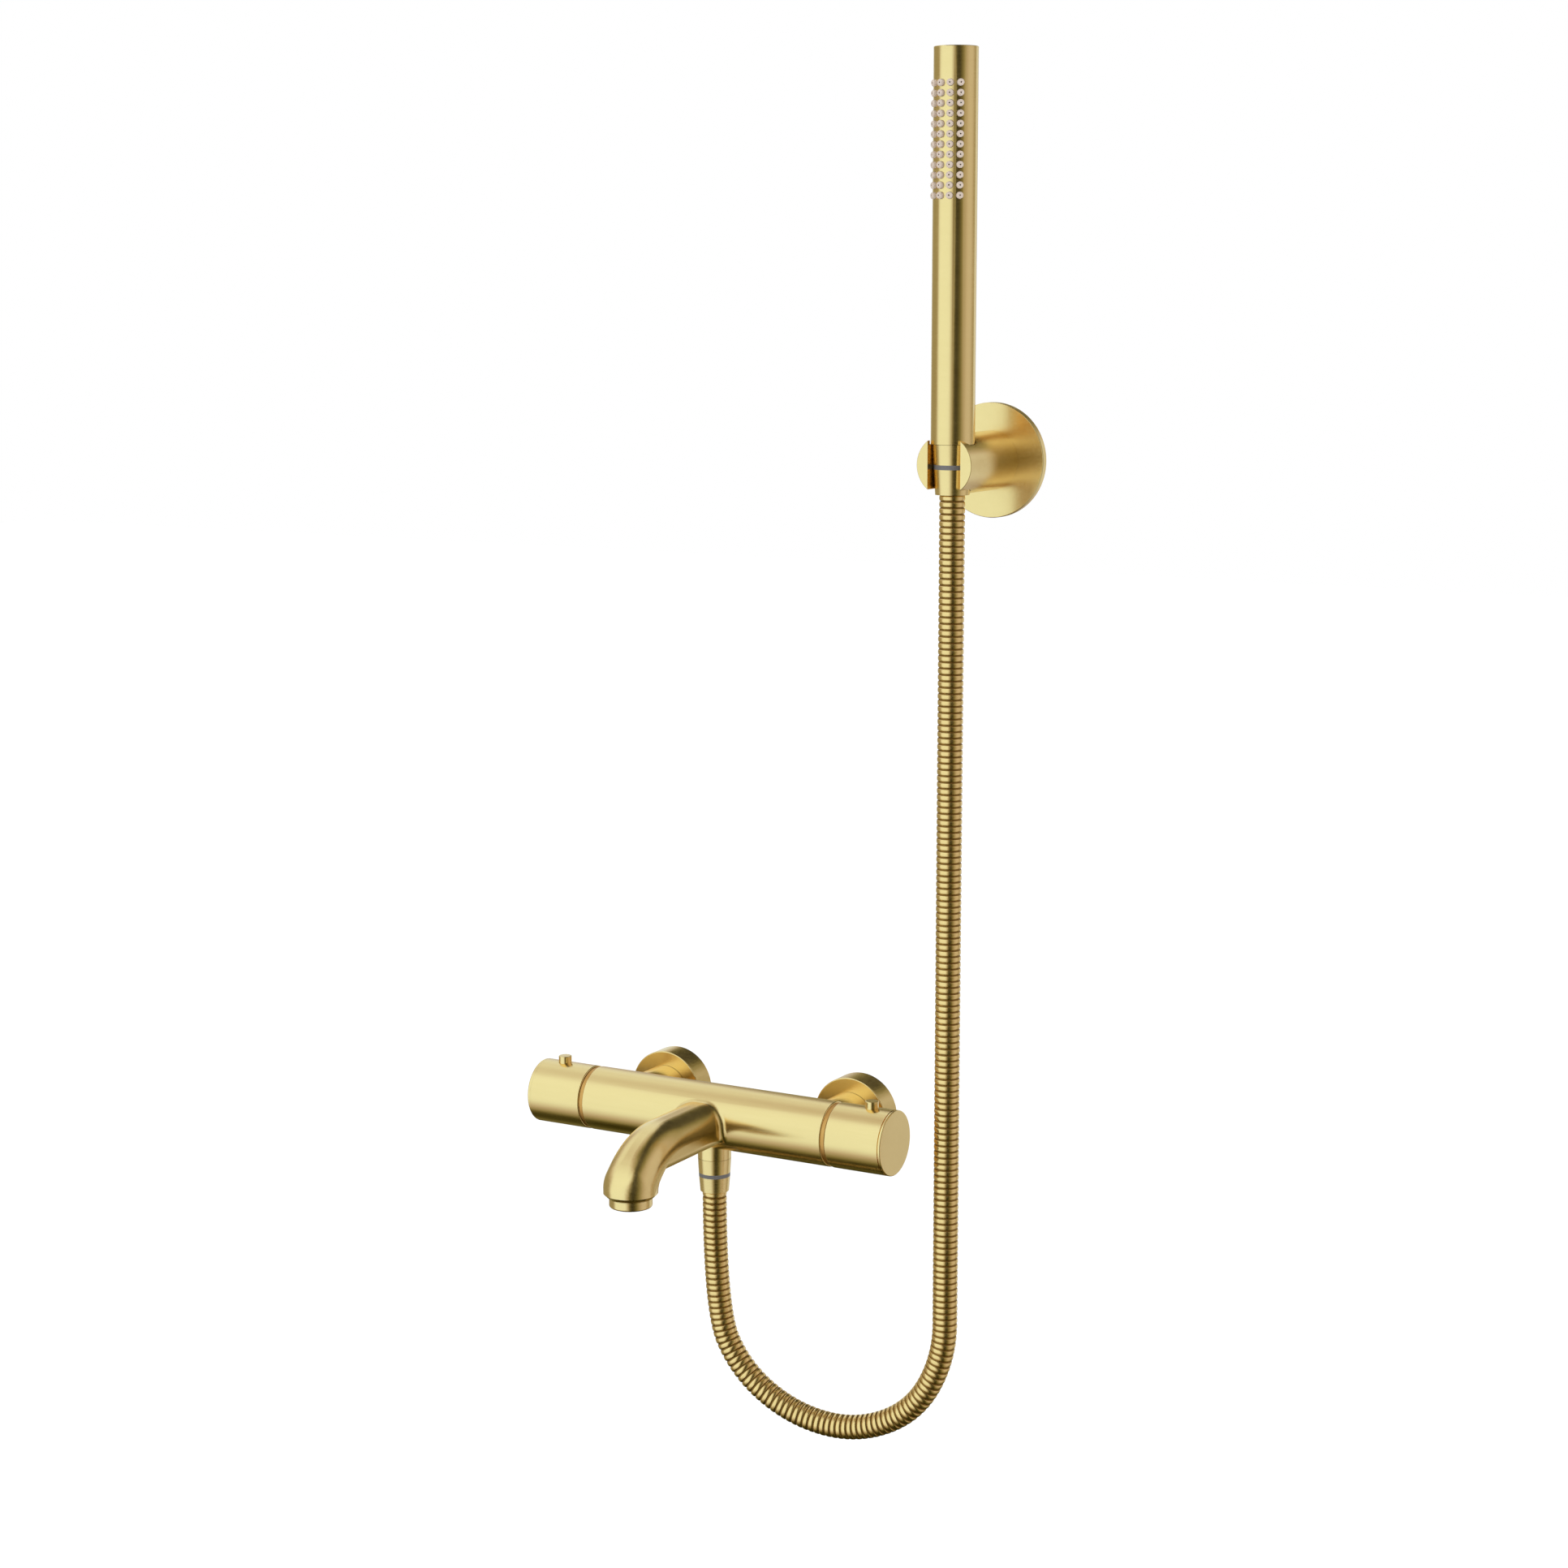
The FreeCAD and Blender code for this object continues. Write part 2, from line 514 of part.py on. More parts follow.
# ---------------------------------------------------------------- cartridges in the body
def thermostat():
    sleeve = turned("sleeve_turned", [
        ("sleeve_outlet", "nose_start"), ("nose_radius", "nose_start"),
        ("nose_radius", "nose_end"), ("waist_radius", "nose_end"),
        ("waist_radius", "mid_land_start"), ("land_radius", "mid_land_start"),
        ("land_radius", "mid_land_end"), ("waist_radius", "mid_land_end"),
        ("waist_radius", "front_land"), ("land_radius", "front_land"),
        ("land_radius", "seal_at - seal_groove"),
        ("seal_ring_radius - seal_section", "seal_at - seal_groove"),
        ("seal_ring_radius - seal_section", "seal_at + seal_groove"),
        ("land_radius", "seal_at + seal_groove"), ("land_radius", "sleeve_end"),
        ("spindle_hole", "sleeve_end"), ("spindle_hole", "sleeve_front"),
        ("sleeve_inner", "sleeve_front"), ("sleeve_inner", "nose_end + 1"),
        ("nose_radius - 1", "nose_end + 1"), ("nose_radius - 1", "sleeve_floor"),
        ("sleeve_outlet", "sleeve_floor")])
    ports = []
    for station in ("hot_port_at", "cold_port_at"):
        for turn, towards in enumerate(((1, 0, 0), (0, 1, 0), (-1, 0, 0), (0, -1, 0))):
            ports.append(cylinder("%s_%d" % (station, turn), "sleeve_port", "bore_radius",
                                  "0", "0", station, towards))
    finish(on_bar(cut("sleeve", sleeve, ports), 1), "thermostat_sleeve")

    spool = turned("spool", [
        ("wax_radius + 0.05", "spool_web_start"), ("spool_rim", "spool_web_start"),
        ("spool_rim", "spool_start"), ("spool_radius", "spool_start"),
        ("spool_radius", "spool_end"), ("spool_rim", "spool_end"),
        ("spool_rim", "spool_web_end"), ("wax_radius + 0.05", "spool_web_end")])
    finish(on_bar(spool, 1), "thermostat_spool")
    wax = turned("wax", [
        ("0", "wax_start"), ("wax_radius", "wax_start"), ("wax_radius", "wax_end"),
        ("wax_pin", "wax_end"), ("wax_pin", "wax_pin_end"), ("0", "wax_pin_end")])
    finish(on_bar(wax, 1), "wax_element")
    spindle = turned("temperature_shaft", [
        ("driver_hole", "driver_start"), ("driver_radius", "driver_start"),
        ("driver_radius", "spindle_flange_start"), ("spindle_flange", "spindle_flange_start"),
        ("spindle_flange", "spindle_flange_end"), ("spindle_radius", "spindle_flange_end"),
        ("spindle_radius", "spindle_end"), ("tap_hole", "spindle_end"),
        ("tap_hole", "screw_start - 0.5"), ("0", "screw_start - 0.5"),
        ("0", "driver_hole_end"), ("driver_hole", "driver_hole_end")])
    finish(on_bar(spindle, 1), "temperature_spindle")
    on_bar(coil("thermostat_return_spring", "return_coil", "return_wire", "sleeve_floor",
                "spool_web_start", "return_turns"), 1)


def flow_cartridge():
    housing = turned("flow_housing", [
        ("disc_bore", "nose_start"), ("nose_radius", "nose_start"),
        ("nose_radius", "nose_end"), ("waist_radius", "nose_end"),
        ("waist_radius", "front_land"), ("land_radius", "front_land"),
        ("land_radius", "seal_at - seal_groove"),
        ("seal_ring_radius - seal_section", "seal_at - seal_groove"),
        ("seal_ring_radius - seal_section", "seal_at + seal_groove"),
        ("land_radius", "seal_at + seal_groove"), ("land_radius", "sleeve_end"),
        ("spindle_hole", "sleeve_end"), ("spindle_hole", "sleeve_front"),
        ("sleeve_inner", "sleeve_front"), ("sleeve_inner", "disc_cavity_end"),
        ("disc_bore", "disc_cavity_end")])
    finish(on_bar(housing, -1), "flow_cartridge_housing")
    fixed = ring("fixed_disc_blank", "mixed_radius", "disc_radius", "nose_start", "disc_end")
    holes = [cylinder("fixed_disc_hole%d" % number, "outlet_radius", "disc_end", x, y, "nose_start - 1")
             for number, (x, y) in enumerate((("0", "-outlet_offset"), ("-outlet_offset", "0")))]
    finish(on_bar(cut("fixed_disc", fixed, holes), -1), "fixed_ceramic_disc")
    turning = ring("turning_disc_blank", "0", "turn_disc_radius", "turn_disc_start",
                   "turn_disc_end")
    pocket = box("turning_disc_pocket", "disc_pocket_reach", "disc_pocket_width", "disc_pocket",
                 "0", "-disc_pocket_width / 2", "turn_disc_start")
    finish(on_bar(cut("turning_disc", turning, [pocket]), -1), "turning_ceramic_disc")
    spindle = turned("flow_shaft", [
        ("0", "turn_disc_end + 0.05"), ("turn_disc_radius", "turn_disc_end + 0.05"),
        ("turn_disc_radius", "carrier_end"), ("spindle_radius", "carrier_end"),
        ("spindle_radius", "spindle_end"), ("tap_hole", "spindle_end"),
        ("tap_hole", "screw_start - 0.5"), ("0", "screw_start - 0.5")])
    finish(on_bar(spindle, -1), "flow_spindle")


def cartridge_retainer(name):
    return ring(name, "retainer_hole", "retainer_radius", "sleeve_end + 0.05", "retainer_end")


def cartridge_seal(name):
    item = doc.addObject("Part::Torus", name)
    bind(item, "Radius1", "seal_ring_radius")
    bind(item, "Radius2", "seal_section")
    doc.recompute()
    body = doc.addObject("Part::Compound", name + "_at_groove")
    place(item, "0", "0", "seal_at")
    body.Links = [item]
    return body


# ---------------------------------------------------------------- knobs and their buttons
def knob(side, kind):
    """A knob shell with its hub, cap, screw, stop ring and sprung stop button."""
    stop = turned(kind + "_stop", [
        ("stop_hole", "body_half"), ("stop_flange", "body_half"),
        ("stop_flange", "stop_flange_end"), ("stop_collar", "stop_flange_end"),
        ("stop_collar", "stop_collar_end"), ("stop_hole", "stop_collar_end")])
    finish(on_bar(stop, side), kind + "_stop_ring")
    shell = turned(kind + "_shell", [
        ("knob_inner", "knob_start"), ("bar_radius", "knob_start"), ("bar_radius", "knob_end"),
        ("cap_bore", "knob_end"), ("cap_bore", "knob_web_end"), ("screw_hole", "knob_web_end"),
        ("screw_hole", "hub_hole_end"), ("hub_hole", "hub_hole_end"), ("hub_hole", "hub_start"),
        ("knob_hub", "hub_start"), ("knob_hub", "knob_web_start"),
        ("knob_inner", "knob_web_start")], "YZ_Plane")
    round_rim(shell, "joint_edge", [("bar_radius", "knob_start")])
    # Up in the world is the local -X or +X direction, depending on the side of the bar.
    up = (-side, 0, 0)
    hole = cylinder(kind + "_button_hole", "button_hole", "bar_radius",
                    "(button_seat + 5) * %d" % -side, "0", "button_at", up)
    seat = cylinder(kind + "_button_seat", "button_coil + 1", "2",
                    "button_seat * %d" % -side, "0", "button_at", up)
    finish(on_bar(cut(kind + "_knob_drilled", shell, [hole, seat]), side), kind + "_knob")
    # Only the temperature knob has a shadow gap behind its cap.
    gap = [("cap_neck", "knob_end + 0.05"), ("cap_neck", "cap_start"),
           ("bar_radius", "cap_start")] if side > 0 else [("bar_radius", "knob_end + 0.05")]
    cap = turned(kind + "_cap", [
        ("0", "cap_start - 0.6"), ("cap_spigot_inner", "cap_start - 0.6"),
        ("cap_spigot_inner", "cap_spigot_start"), ("cap_spigot", "cap_spigot_start"),
        ("cap_spigot", "knob_end + 0.05")] + gap + [("bar_radius", "bar_half"),
                                                    ("0", "bar_half")])
    round_rim(cap, "cap_edge", [("bar_radius", "bar_half")])
    finish(on_bar(cap, side), kind + "_knob_cap")
    screw = turned(kind + "_screw", [
        ("0", "screw_start"), ("screw_radius", "screw_start"), ("screw_radius", "knob_web_end"),
        ("screw_head", "knob_web_end"), ("screw_head", "screw_head_end"),
        ("screw_radius", "screw_head_end"), ("screw_radius * 0.6", "screw_head_end - 1.6"),
        ("0", "screw_head_end - 1.6")])
    finish(on_bar(screw, side), kind + "_knob_screw")
    button = turned(kind + "_button", [
        ("0", "button_flange_low"), ("button_flange", "button_flange_low"),
        ("button_flange", "button_flange_top"), ("button_radius", "button_flange_top"),
        ("button_radius", "button_top"), ("0", "button_top")])
    round_rim(button, "button_edge", [("button_radius", "button_top")])
    place(button, "button_at * %d" % side, "-bar_out", "bar_up")
    finish(button, kind + "_stop_button")
    spring = coil(kind + "_button_spring", "button_coil", "button_wire", "button_seat",
                  "button_flange_low", "button_turns")
    place(spring, "button_at * %d" % side, "-bar_out", "bar_up")


# ---------------------------------------------------------------- aerator
def aerator():
    housing = turned("aerator_ring", [
        ("aerator_lip", "aerator_end"), ("neck_radius", "aerator_end"),
        ("neck_radius", "aerator_ring_start"), ("aerator_thread", "aerator_ring_start"),
        ("aerator_thread", "aerator_top"), ("aerator_inner", "aerator_top"),
        ("aerator_inner", "aerator_lip_top"), ("aerator_lip", "aerator_lip_top")])
    round_rim(housing, "aerator_edge", [("neck_radius", "aerator_end")])
    finish(place(housing, "0", "-spout_reach", "0"), "aerator_housing")
    cup = turned("aerator_cup", [
        ("0", "insert_bottom"), ("insert_radius", "insert_bottom"),
        ("insert_radius", "insert_top"), ("insert_inner", "insert_top"),
        ("insert_inner", "insert_floor"), ("0", "insert_floor")])
    holes = []
    for ring_number, count in ((1, 6), (2, 12), (3, 18)):
        for turn in range(count):
            angle = 2 * math.pi * turn / count
            holes.append(cylinder(
                "aerator_hole_%d_%d" % (ring_number, turn), "insert_hole", "4",
                "insert_pitch * %.6f" % (ring_number * math.cos(angle)),
                "insert_pitch * %.6f" % (ring_number * math.sin(angle)), "insert_bottom - 1"))
    finish(place(cut("aerator_drilled", cup, holes), "0", "-spout_reach", "0"), "aerator_insert")
    gasket = ring("aerator_gasket", "gasket_inner", "aerator_thread", "aerator_top + 0.05",
                  "gasket_top")
    finish(place(gasket, "0", "-spout_reach", "0"), "aerator_gasket")


# ---------------------------------------------------------------- holder
def at_holder(item):
    return place(item, "holder_right", "0", "holder_up", (0, -1, 0))


def holder():
    flange = turned("flange", [
        ("plate_recess", "0"), ("plate_radius", "0"), ("plate_radius", "plate_depth"),
        ("arm_socket", "plate_depth"), ("arm_socket", "plate_depth - plate_skin"),
        ("plate_recess", "plate_depth - plate_skin")])
    round_rim(flange, "knob_edge", [("plate_radius", "plate_depth")])
    finish(at_holder(flange), "holder_flange")

    bracket = turned("bracket_turned", [
        ("0", "0"), ("bracket_radius", "0"), ("bracket_radius", "bracket_thick"),
        ("spigot_radius", "bracket_thick"), ("spigot_radius", "spigot_end"),
        ("spigot_hole", "spigot_end"), ("spigot_hole", "bracket_thick"),
        ("0", "bracket_thick")])
    holes = [cylinder("bracket_hole%d" % number, "wall_screw_hole", "bracket_thick + 2", "0",
                      "wall_screw_offset * %d" % side, "-1")
             for number, side in enumerate((-1, 1))]
    sinks = [cylinder("bracket_sink%d" % number, "wall_screw_head + 0.1", "head_depth", "0",
                      "wall_screw_offset * %d" % side, "bracket_thick - head_depth")
             for number, side in enumerate((-1, 1))]
    finish(at_holder(cut("bracket", bracket, holes + sinks)), "holder_wall_bracket")

    arm = ring("arm_turned", "0", "arm_radius", "plate_depth + 0.05", "arm_end")
    round_rim(arm, "arm_edge", [("arm_radius", "arm_end")])
    at_holder(arm)
    socket = cylinder("arm_socket_tool", "arm_socket", "arm_socket_end", "holder_right", "0",
                      "holder_up", (0, -1, 0))
    slot = box("arm_slot", "slot_half * 2", "arm_end - shower_out + 1", "arm_radius * 2 + 2",
               "holder_right - slot_half", "-arm_end - 1", "holder_up - arm_radius - 1")
    seat = doc.addObject("Part::Cone", "arm_seat")
    taper = "(cone_large - cone_small) / (cone_top - cone_low)"
    bind(seat, "Radius1", "cone_small + seat_gap - 2 * " + taper)
    bind(seat, "Radius2", "cone_large + seat_gap + 8 * " + taper)
    bind(seat, "Height", "cone_top - cone_low + 10")
    place(seat, "holder_right", "-shower_out", "cone_low - 2")
    shelf = cylinder("arm_shelf", "counterbore", "arm_radius", "holder_right", "-shower_out",
                     "cone_top")
    grub_way = cylinder("grub_way", "grub_radius + 0.1", "arm_radius", "holder_right",
                        "-grub_at", "holder_up - arm_radius - 1")
    finish(cut("arm", arm, [socket, slot, seat, shelf, grub_way]), "holder_arm")

    grub = turned("grub", [
        ("0", "0"), ("grub_radius", "0"), ("grub_radius", "-grub_length"),
        ("grub_hex", "-grub_length"), ("grub_hex", "-grub_length + 2"),
        ("0", "-grub_length + 2")])
    finish(place(grub, "holder_right", "-grub_at", "holder_up - spigot_radius - 0.05"),
           "holder_grub_screw")
    screws = []
    plugs = []
    for number, side in enumerate((-1, 1)):
        screw = turned("wall_screw%d" % number, [
            ("0", "bracket_thick - wall_screw_length"),
            ("wall_screw_radius", "bracket_thick - wall_screw_length + 3"),
            ("wall_screw_radius", "bracket_thick - head_depth"),
            ("wall_screw_head", "bracket_thick - head_depth"),
            ("wall_screw_head", "bracket_thick"), ("0", "bracket_thick")])
        plug = turned("wall_plug%d" % number, [
            ("plug_hole", "-plug_length"), ("plug_radius - 0.6", "-plug_length"),
            ("plug_radius", "-plug_length + 4"), ("plug_radius", "-0.1"),
            ("plug_hole", "-0.1")])
        height = "holder_up + wall_screw_offset * %d" % side
        screws.append(place(screw, "holder_right", "0", height, (0, -1, 0)))
        plugs.append(place(plug, "holder_right", "0", height, (0, -1, 0)))
    for label, items in (("holder_wall_screws", screws), ("wall_plugs", plugs)):
        group = doc.addObject("Part::Compound", label)
        group.Links = items
        finish(group, label)


# ---------------------------------------------------------------- hand shower
def at_shower(item):
    return place(item, "holder_right", "-shower_out", "0")


def hose_cone():
    slope = "(cone_large - cone_small) / (cone_top - cone_low)"
    band_top = "cone_large - (cone_top - cone_band_top) * " + slope
    band_low = "cone_large - (cone_top - cone_band_low) * " + slope
    nut = turned("cone_nut_turned", [
        ("cone_hole", "cone_band_top"), (band_top, "cone_band_top"),
        ("cone_large", "cone_top"), ("cone_thread", "cone_top"),
        ("cone_thread", "cone_thread_end"), ("cone_hole", "cone_thread_end")])
    band = turned("cone_band_turned", [
        ("cone_hole", "cone_band_low"), (band_low, "cone_band_low"),
        (band_top, "cone_band_top"), ("cone_hole", "cone_band_top")])
    ferrule = turned("cone_ferrule_turned", [
        ("hose_tail_radius", "cone_low"), ("cone_small", "cone_low"),
        (band_low, "cone_band_low"), ("hose_tail_radius", "cone_band_low")])
    for item, label in ((nut, "cone_nut"), (band, "cone_band"), (ferrule, "cone_ferrule")):
        finish(at_shower(item), label)


def nozzle_places():
    """Each nozzle's turn from straight out of the wall, in degrees, and its height's formula."""
    for row in range(NOZZLE_ROWS):
        for column in range(NOZZLE_COLUMNS):
            yield (column - (NOZZLE_COLUMNS - 1) / 2), "nozzle_low + nozzle_pitch * %d" % row


def towards_nozzle(steps):
    angle = math.radians(value("nozzle_step")) * steps
    return V(math.sin(angle), -math.cos(angle), 0)


def hand_shower():
    stick = turned("stick", [
        ("stick_inner", "stick_low"), ("stick_radius", "stick_low"),
        ("stick_radius", "stick_top"), ("0", "stick_top"),
        ("0", "stick_top - stick_end_wall"), ("stick_inner", "stick_top - stick_end_wall")])
    round_rim(stick, "stick_edge", [("stick_radius", "stick_top")])
    holes = [cylinder("stick_hole%d" % number, "nozzle_hole", "stick_radius + 1", "0", "0",
                      height, tuple(towards_nozzle(steps)))
             for number, (steps, height) in enumerate(nozzle_places())]
    finish(at_shower(cut("stick_drilled", stick, holes)), "hand_shower_tube")
    core = ring("core_tube", "core_inner", "core_radius", "core_low", "core_top")
    window = box("core_window", "core_slot_half * 2", "core_radius + 1",
                 "core_slot_top - core_slot_low", "-core_slot_half", "-core_radius - 1",
                 "core_slot_low")
    finish(at_shower(cut("core", core, [window])), "hand_shower_core")
    plug = turned("connector", [
        ("connector_hole", "connector_low"), ("connector_radius", "connector_low"),
        ("connector_radius", "stick_low + 0.1"), ("plug_outer", "stick_low + 0.1"),
        ("plug_outer", "plug_end"), ("connector_hole", "plug_end")])
    finish(at_shower(plug), "hand_shower_connector")
    nozzle_strip()


def nozzle_strip():
    """A curved strip inside the tube with a pierced, domed nozzle for each hole."""
    inner, outer = value("strip_inner"), value("strip_outer")
    low, high = value("strip_low"), value("strip_top")
    half_turn = value("nozzle_step") * NOZZLE_COLUMNS / 2
    sector = Part.makeCylinder(outer, high - low, V(0, 0, low), V(0, 0, 1), half_turn * 2)
    sector = sector.cut(Part.makeCylinder(inner, high - low, V(0, 0, low)))
    sector.rotate(V(0, 0, 0), V(0, 0, 1), -90 - half_turn)
    radius, tip, reach = value("nozzle_radius"), value("nozzle_tip"), value("nozzle_out")
    root = (inner + outer) / 2
    dome = reach - radius + tip
    stalks = []
    bores = []
    for steps, height in nozzle_places():
        heading = towards_nozzle(steps)
        middle = V(0, 0, value(height))
        stalk = Part.makeCylinder(radius, dome - root, middle + heading * root, heading)
        top = Part.makeCone(radius, tip, reach - dome, middle + heading * dome, heading)
        stalks.append(stalk.fuse(top))
        bores.append(Part.makeCylinder(value("nozzle_bore"), reach, middle + heading, heading))
    strip = sector.multiFuse(stalks).cut(Part.makeCompound(bores))
    item = doc.addObject("Part::Feature", "strip")
    item.Shape = strip.removeSplitter()
    finish(at_shower(item), "nozzle_strip")


def hose():
    """The hose as straight runs joined by arcs, hanging in an upright plane."""
    out_left, out_right = value("bar_out"), value("shower_out")
    right = value("holder_right")
    route = [V(x, -out_left + (out_left - out_right) * x / right, z) for x, z in HOSE_ROUTE]
    edges = []
    start = route[0]
    for before, corner, after in zip(route, route[1:], route[2:]):
        coming = (corner - before).normalize()
        going = (after - corner).normalize()
        half_turn = coming.getAngle(going) / 2
        shorter = min((corner - before).Length, (after - corner).Length)
        trim = ARC_SHARE * shorter
        arc_start = corner - coming * trim
        arc_end = corner + going * trim
        radius = trim / math.tan(half_turn)
        print("hose arc radius %.1f mm" % radius)
        middle_way = (going - coming).normalize()
        middle = corner + middle_way * (radius / math.cos(half_turn) - radius)
        edges.append(Part.LineSegment(start, arc_start).toShape())
        edges.append(Part.Arc(arc_start, middle, arc_end).toShape())
        start = arc_end
    edges.append(Part.LineSegment(start, route[-1]).toShape())
    path = Part.Wire(edges)
    radius = value("hose_radius")
    section = Part.Wire(Part.makeCircle(radius, route[0], V(0, 0, -1)))
    item = doc.addObject("Part::Feature", "hose")
    item.Shape = path.makePipeShell([section], True, False)
    expected = math.pi * radius ** 2 * path.Length
    print("hose length %.1f mm, volume %.0f of %.0f" % (path.Length, item.Shape.Volume, expected))
    if abs(item.Shape.Volume / expected - 1) > 0.01:
        raise ValueError("the hose's volume is wrong")
    finish(item, "shower_hose")


def build():
    mixer_body()
    hose_outlet()
    for side, label in ((-1, "left"), (1, "right")):
        wall_side(side, label)
        check_poppet(side, label)
        on_inlet(coil("check_spring_" + label, "check_coil", "check_wire", "poppet_face",
                      "check_web", "check_turns"), side)
    pair("union_washers", union_washer, on_inlet)
    pair("inlet_tails", inlet_tail, on_inlet)
    pair("check_valve_housings", check_housing, on_inlet)
    thermostat()
    flow_cartridge()
    pair("cartridge_retainers", cartridge_retainer, on_bar)
    pair("cartridge_seals", cartridge_seal, on_bar)
    knob(1, "temperature")
    knob(-1, "flow")
    aerator()
    holder()
    hose_cone()
    hand_shower()
    hose()


def export():
    """Check every object, then write each sub-part to its own file."""
    doc.recompute()
    for item in doc.Objects:
        if "Invalid" in item.State or "Error" in item.State:
            raise ValueError("%s failed: %s" % (item.Name, item.State))
    for item in SUB_PARTS:
        if item.Shape.isNull() or not item.Shape.isValid() or not item.Shape.Solids:
            raise ValueError("%s has no valid solid" % item.Label)
    os.makedirs("parts", exist_ok=True)
    for item in SUB_PARTS:
        item.Shape.exportStep("parts/%s.step" % item.Label)
    print(len(SUB_PARTS), "sub-parts")


build()
export()
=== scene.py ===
"""Looks of the wall mounted bath faucet: materials, hose, studio and camera."""
import json
import math

import bpy
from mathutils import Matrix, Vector


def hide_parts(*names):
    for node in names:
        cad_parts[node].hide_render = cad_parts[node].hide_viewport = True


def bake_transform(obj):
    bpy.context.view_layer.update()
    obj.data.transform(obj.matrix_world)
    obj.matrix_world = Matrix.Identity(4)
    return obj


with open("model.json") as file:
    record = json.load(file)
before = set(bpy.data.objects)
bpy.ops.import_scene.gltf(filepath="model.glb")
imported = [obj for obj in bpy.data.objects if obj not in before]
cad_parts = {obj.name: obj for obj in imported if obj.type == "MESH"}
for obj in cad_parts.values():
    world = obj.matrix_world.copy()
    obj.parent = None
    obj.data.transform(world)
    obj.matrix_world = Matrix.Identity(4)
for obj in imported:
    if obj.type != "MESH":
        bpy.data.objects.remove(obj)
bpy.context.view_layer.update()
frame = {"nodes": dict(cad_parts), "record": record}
cad_nodes = frame["nodes"]
scene = bpy.context.scene
scene.view_settings.view_transform = "Standard"

CAMERA_AZIMUTH = math.radians(29.52)
CAMERA_ELEVATION = math.radians(9.36)
CAMERA_PLACE = (1.0433, -1.8201, 0.5715)
LENS = 69.85
SENSOR_WIDTH = 36

FLOOR_UP = -0.85
FLOOR_HALF = 12.0
# The studio's light by its strength: dim parts are brown, bright ones cool white.
STUDIO_COLORS = ((0.0, (0.0, 0.0, 0.0)), (1.0, (0.98, 1.16, 1.22)), (0.055, (0.055, 0.050, 0.010)),
                 (0.18, (0.18, 0.166, 0.065)), (0.30, (0.30, 0.285, 0.17)),
                 (0.53, (0.53, 0.49, 0.47)), (0.85, (0.86, 1.02, 1.09)))

# The room's lit parts. Each is a product of smooth steps over the angle around from the camera
# and over the height, in degrees: from, to, and the strengths at the two when not 0 and 1.
LEFT_TOP = (48, 92, 1, 0)
ROOM = (
    # the large soft panel on the left
    (((-108, -84), (-28, 4, 0.84, 0)), ((-76, -16), LEFT_TOP)),
    # the wall behind it on the left, brighter higher up
    (((-180, -158), (-70, -30, 1, 0)), ((8, 44, 0.30, 0.74), (-62, -22), LEFT_TOP)),
    # the wall behind the object
    (((-166, -146, 0.74, 0), (-180, -174, 0.5, 1)), ((-35, -12), (46, 70, 1, 0.1))),
    # the weaker right side
    (((14, 72, 0, 0.55), (90, 120, 1, 0.5), (120, 140, 1, 0)), ((-75, -30), (38, 84, 1, 0))),
    # the low window behind on the right
    (((108, 126, 0, 0.64), (150, 180, 1, 0.4)), ((-45, -18), (12, 30, 1, 0))))
ROOM_DARK = 0.028
# What the camera sees of the room, and what lights the dull surfaces.
GROUND_WHITE = (1, 1, 1, 1)
SOFT_WHITE = (1.1, 1.1, 1.1, 1)

# The hose: its route in metres, its size, and the pitch of its rings.
HOSE_ROUTE = ((0.0, -0.0482), (0.0, -0.134), (0.020, -0.1755), (0.0595, -0.2015),
              (0.107, -0.2065), (0.150, -0.185), (0.1718, -0.143), (0.1718, -0.096),
              (0.1718, 0.437))
HOSE_OUT_LEFT = -0.075
HOSE_OUT_RIGHT = -0.0615
HOLDER_RIGHT = 0.1718
HOSE_RADIUS = 0.0084
RING_PITCH = 0.00415
# One ring: the share of the pitch at which each row stands, and how far in from the crest.
RING_PROFILE = ((0.0, 0.0008), (0.06, 0.0008), (0.13, 0.0003), (0.28, 0.00007), (0.5, 0.0),
                (0.72, 0.00007), (0.87, 0.0003), (0.94, 0.0008))
# The rows of each ring that lie in the groove; they get a darker brown metal, painted shade of the
# recess.
GROOVE_SHADE_ROWS = (0, 1, 6, 7)
HOSE_SIDES = 40
LOOK_AHEAD = 0.002
ROUTE_STEPS = 240

# Each spring: its node, the bodies it stands between, and its end on each of them.
SPRINGS = (
    ("check_spring_left", "root", "check_left", (-0.075, -0.052, 0), (-0.075, -0.038, 0)),
    ("check_spring_right", "root", "check_right", (0.075, -0.052, 0), (0.075, -0.038, 0)),
    ("temperature_button_spring", "temperature_dial", "temperature_button",
     (0.1227, -0.075, 0.0118), (0.1227, -0.075, 0.0205)),
    ("flow_button_spring", "flow_dial", "flow_button",
     (-0.1227, -0.075, 0.0118), (-0.1227, -0.075, 0.0205)),
    ("thermostat_return_spring", "root", "thermostat_shuttle",
     (0.033, -0.075, 0.0049), (0.050, -0.075, 0.0049)))


# ---------------------------------------------------------------- camera
def add_camera():
    data = bpy.data.cameras.new("camera")
    data.lens = LENS
    data.sensor_width = SENSOR_WIDTH
    camera = bpy.data.objects.new("camera", data)
    scene.collection.objects.link(camera)
    camera.location = CAMERA_PLACE
    camera.rotation_euler = (math.pi / 2 - CAMERA_ELEVATION, 0, CAMERA_AZIMUTH)
    scene.camera = camera


